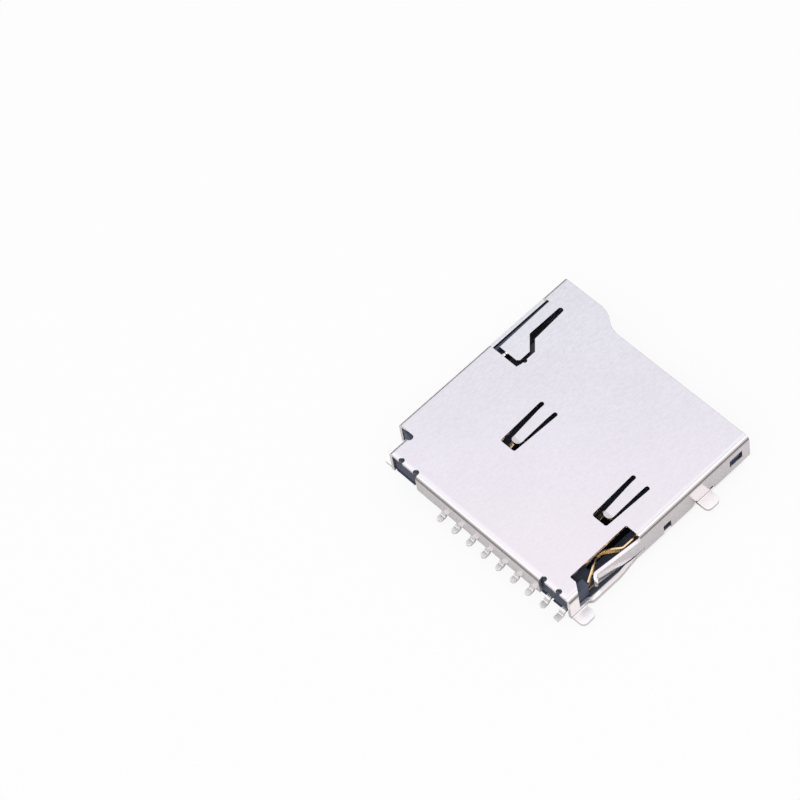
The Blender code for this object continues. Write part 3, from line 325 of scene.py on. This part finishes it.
def makeSpring():
    use = springUse
    low, high = (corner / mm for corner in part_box("coil_spring"))
    middle = (low + high) / 2
    wireRadius = use["wire"] / 2
    radius = (high.x - low.x) / 2 - wireRadius
    endRise = use["endTurns"] * use["endPitch"]
    coilRise = high.y - low.y - use["wire"] - 2 * endRise
    mesh = bmesh.new()
    start = Matrix.Translation((middle.x + radius, low.y + wireRadius, middle.z))
    bmesh.ops.create_circle(mesh, segments=use["wireSides"], radius=wireRadius, matrix=start)
    ring = mesh.verts[:] + mesh.edges[:]
    for turns, rise in ((use["endTurns"], endRise), (use["coils"], coilRise), (use["endTurns"], endRise)):
        steps = turns * use["turnSteps"]
        step = Vector((0, rise / steps, 0))
        turned = bmesh.ops.spin(
            mesh, geom=ring, cent=middle, axis=(0, -1, 0), dvec=step, angle=2 * math.pi * turns, steps=steps,
        )
        ring = turned["geom_last"]
    ends = [edge for edge in mesh.edges if edge.is_boundary]
    bmesh.ops.holes_fill(mesh, edges=ends)
    bmesh.ops.recalc_face_normals(mesh, faces=mesh.faces[:])
    for face in mesh.faces:
        face.smooth = len(face.verts) == 4
    bmesh.ops.scale(mesh, vec=(mm, mm, mm), verts=mesh.verts[:])
    data = bpy.data.meshes.new("returnSpring")
    mesh.to_mesh(data)
    mesh.free()
    spring = bpy.data.objects.new("returnSpring", data)
    bpy.context.scene.collection.objects.link(spring)
    data.materials.append(wire)
    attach(spring, nodes["coil_spring"]["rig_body"])
    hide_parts("coil_spring")
    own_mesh(spring)


makeSpring()
print("spring made")


def whiteShare(tree, camera, glossy):  # how much of the plain white each kind of ray sees
    seen = addNode(tree, "ShaderNodeLightPath").outputs
    mirrored = calculate(tree, "MAXIMUM", seen["Is Glossy Ray"], seen["Is Transmission Ray"])
    mirrored = times(tree, mirrored, glossy)
    return calculate(tree, "MAXIMUM", times(tree, seen["Is Camera Ray"], camera), mirrored)


# A plain pale floor under the pegs, its lengths in mm. Under the part, where no light comes, it is painted
# dark, a painted shadow, and has no white of its own
floorUse = {
    "half": 300, "drop": 0.01, "colour": "#f4f4f4", "glow": "#ffffff", "camera": 0.9, "glossy": 0.1,
    "shade": "#202227", "shadeInset": 1.0, "shadeSoft": 0.6,
}


def makeFloor():
    use = floorUse
    bpy.ops.mesh.primitive_plane_add(size=2 * use["half"] * mm)
    floor = bpy.context.object
    floor.name = "studioFloor"
    floor.data.transform(Matrix.Translation((0, 0, cadBox[0][2] - use["drop"] * mm)))
    material = bpy.data.materials.new("pale floor")
    material.use_nodes = True
    tree = material.node_tree
    tree.nodes.clear()
    glow = addNode(tree, "ShaderNodeEmission", {"Color": hexColour(use["glow"]), "Strength": 1.0})
    spot = axesOf(tree, coordinate(tree))
    beyond = 0.0
    for axis, name in enumerate(("X", "Y")):
        middle = (cadBox[0][axis] + cadBox[1][axis]) / 2
        reach = (cadBox[1][axis] - cadBox[0][axis]) / 2 - use["shadeInset"] * mm
        off = calculate(tree, "ABSOLUTE", calculate(tree, "SUBTRACT", spot[name], middle))
        beyond = calculate(tree, "MAXIMUM", beyond, spread(tree, off, (reach - use["shadeSoft"] * mm, reach)))
    share = times(tree, whiteShare(tree, use["camera"], use["glossy"]), beyond)
    # painted shadow: the floor's colour turns dark under the part
    paint = blendColours(tree, beyond, use["shade"], use["colour"])
    cloth = addNode(tree, "ShaderNodeBsdfDiffuse", {"Color": paint})
    mixed = addNode(tree, "ShaderNodeMixShader", {0: share, 1: cloth.outputs[0], 2: glow.outputs[0]})
    addNode(tree, "ShaderNodeOutputMaterial", {"Surface": mixed.outputs[0]})
    floor.data.materials.append(material)


# A low dark band round the table, which the camera never sees. The metal mirrors it at each fold, where it
# deepens the line that the finish draws
bandUse = {"radius": 260, "height": 62, "sides": 64, "colour": "#4a4542", "roughness": 0.9}


def makeBand():
    use = bandUse
    bpy.ops.mesh.primitive_cylinder_add(
        vertices=use["sides"], radius=use["radius"] * mm, depth=use["height"] * mm, end_fill_type="NOTHING",
    )
    band = bpy.context.object
    band.name = "studioBand"
    band.data.transform(Matrix.Translation((0, 0, cadBox[0][2] + use["height"] * mm / 2)))
    material, tree, shader = newMaterial("dark card")
    shader.inputs["Base Color"].default_value = hexColour(use["colour"])
    shader.inputs["Roughness"].default_value = use["roughness"]
    band.data.materials.append(material)
    band.visible_camera = False


# Soft daylight from all round, three soft lamps, and a lilac panel that the cover's top mirrors
lamps = {
    "keyLamp": {"at": (-120, 160, 320), "size": 260, "power": 0.4, "colour": "#ffffff"},
    "fillLamp": {"at": (-220, -140, 220), "size": 400, "power": 0.16, "colour": "#ffffff"},
    "backLamp": {"at": (140, 240, 200), "size": 400, "power": 0.14, "colour": "#ffffff"},
    "panelLamp": {"at": (150, -100, 280), "size": 260, "power": 0.06, "colour": "#ebe1fa"},
}
studio = {"colour": "#ffffff", "camera": 1.0, "glossy": 1.0, "ambient": 0.6}


def makeLight():
    for name, use in lamps.items():
        data = bpy.data.lights.new(name, "AREA")
        data.shape = "DISK"
        data.size = use["size"] * mm
        data.energy = use["power"]
        data.color = hexColour(use["colour"])[:3]
        lamp = bpy.data.objects.new(name, data)
        bpy.context.scene.collection.objects.link(lamp)
        lamp.location = Vector(use["at"]) * mm
        lamp.rotation_mode = "QUATERNION"
        lamp.rotation_quaternion = lamp.location.to_track_quat("Z", "Y")
    world = bpy.data.worlds.new("studio")
    bpy.context.scene.world = world
    world.use_nodes = True
    tree = world.node_tree
    sky = tree.nodes["Background"]
    sky.inputs["Color"].default_value = hexColour(studio["colour"])
    share = whiteShare(tree, studio["camera"], studio["glossy"])
    tree.links.new(spread(tree, share, (0.0, 1.0), (studio["ambient"], 1.0)), sky.inputs["Strength"])


# The photo's view, in millimetres: a long lens high over the rear left corner
photoView = {
    "eye": (-78.705, 66.262, 164.023), "target": (8.746, 7.259, 0.832), "up": (0.56764, -0.62871, 0.53151),
    "lens": 162.15, "sensor": 36, "nearest": 1, "farthest": 10000,
}


def makeCamera():
    use = photoView
    data = bpy.data.cameras.new("photoCamera")
    data.lens = use["lens"]
    data.sensor_width = use["sensor"]
    data.clip_start = use["nearest"] * mm
    data.clip_end = use["farthest"] * mm
    camera = bpy.data.objects.new("photoCamera", data)
    bpy.context.scene.collection.objects.link(camera)
    eye, target, up = (Vector(use[key]) for key in ("eye", "target", "up"))
    back = (eye - target).normalized()
    right = up.cross(back).normalized()
    turned = Matrix((right, back.cross(right), back)).transposed().to_4x4()
    camera.matrix_world = Matrix.Translation(eye * mm) @ turned
    bpy.context.scene.camera = camera


makeFloor()
makeBand()
makeLight()
makeCamera()
bpy.context.scene.view_settings.view_transform = "Standard"
print("floor, light and camera made")
